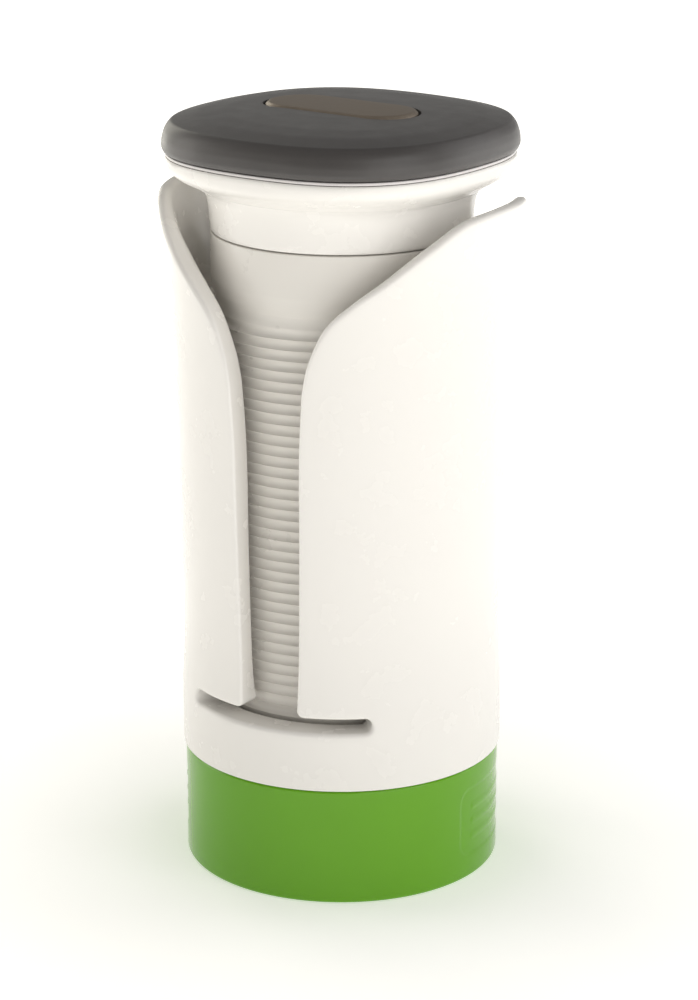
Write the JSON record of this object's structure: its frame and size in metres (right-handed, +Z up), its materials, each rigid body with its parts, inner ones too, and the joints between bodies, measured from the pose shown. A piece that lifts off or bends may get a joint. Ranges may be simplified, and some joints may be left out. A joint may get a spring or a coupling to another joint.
{
  "type": "hand-held cheese mill",
  "caption": "Hand-held twist mill: a knob on a wide feed screw presses cheese onto a grater disc through a slotted two-petal body; a push-on cap is the foot.",
  "frame": {"origin": "middle of the cap's underside, on the surface that the mill stands on", "axes": "+Z up along the screw, -Y out of the slot nearest the camera, +X towards the petal at the camera's right"},
  "size_m": [0.0758, 0.068, 0.1592],
  "materials": {
    "green_cap": "gloss",
    "white_shell": "gloss",
    "screw_plastic": "satin",
    "grip_soft": "matte soft touch",
    "badge_metal": "brushed",
    "grater_steel": "etched",
    "screw_steel": "plated",
    "seal_rubber": "matte"
  },
  "bodies": {
    "body": {"body_ring": "white_shell", "grater_carrier": "white_shell", "grater_disc": "grater_steel", "grater_seal": "seal_rubber"},
    "cap": {"base_cap": "green_cap"},
    "petal_right": {"petal_right": "white_shell", "half_nut_right": "white_shell"},
    "petal_left": {"petal_left": "white_shell", "half_nut_left": "white_shell"},
    "glide": {"glide_ring": "white_shell"},
    "plunger": {"feed_screw": "screw_plastic", "pusher_plate": "white_shell", "foot_screw": "screw_steel", "knob_collar": "white_shell", "knob_core": "white_shell", "knob_screw_1": "screw_steel", "knob_screw_2": "screw_steel", "knob_screw_3": "screw_steel", "knob_screw_4": "screw_steel", "knob_grip": "grip_soft", "badge_plate": "badge_metal"}
  },
  "joints": [
    {"name": "plunger_feed", "type": "slide", "parent": "body", "child": "glide", "axis": [0, 0, 1], "range_m": [0, 0.066]},
    {"name": "knob_turn", "type": "hinge", "parent": "glide", "child": "plunger", "pos_m": [0, 0, 0.035], "axis": [0, 0, 1], "range_deg": [0, 10800]},
    {"name": "petal_right_flex", "type": "hinge", "parent": "body", "child": "petal_right", "pos_m": [0.0315, 0, 0.0388], "axis": [0, 1, 0], "range_deg": [-0.25, 0.8], "stiffness_Nm_per_rad": 20},
    {"name": "petal_left_flex", "type": "hinge", "parent": "body", "child": "petal_left", "pos_m": [-0.0315, 0, 0.0388], "axis": [0, -1, 0], "range_deg": [-0.25, 0.8], "stiffness_Nm_per_rad": 20},
    {"name": "cap_pull", "type": "slide", "parent": "body", "child": "cap", "axis": [0, 0, -1], "range_m": [0, 0.03]}
  ],
  "couplings": [
    {"joint": "plunger_feed", "follows": "knob_turn", "m_per_rad": 0.00035014}
  ]
}
